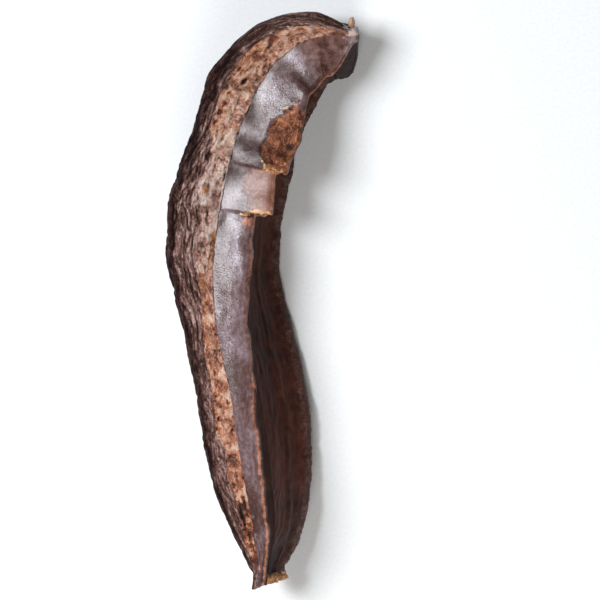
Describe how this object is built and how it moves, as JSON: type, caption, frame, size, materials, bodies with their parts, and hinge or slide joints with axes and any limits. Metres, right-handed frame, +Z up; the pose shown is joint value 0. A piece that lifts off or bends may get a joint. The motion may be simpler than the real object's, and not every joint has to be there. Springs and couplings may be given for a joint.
{
  "type": "aidan fruit",
  "caption": "Dried aidan fruit: a curved, twisted seed pod with woody and fleshy wings along its length and a broken stalk, used as a spice.",
  "frame": {"origin": "centre of the bounding box in plan, on the surface that the pod rests on", "axes": "+Y along the pod's length towards its stalk end, +X towards the broken edge of the upper fleshy wing, +Z up"},
  "size_m": [0.0696, 0.2012, 0.0336],
  "materials": {
    "pod_skin": "dry, dark red-brown skin, glossy on the fleshy wings and rough on the woody ones",
    "dry_stalk": "dry, matte, pale broken wood"
  },
  "bodies": {
    "root": {"pod": "pod_skin", "stalk_stub": "dry_stalk"}
  },
  "joints": []
}
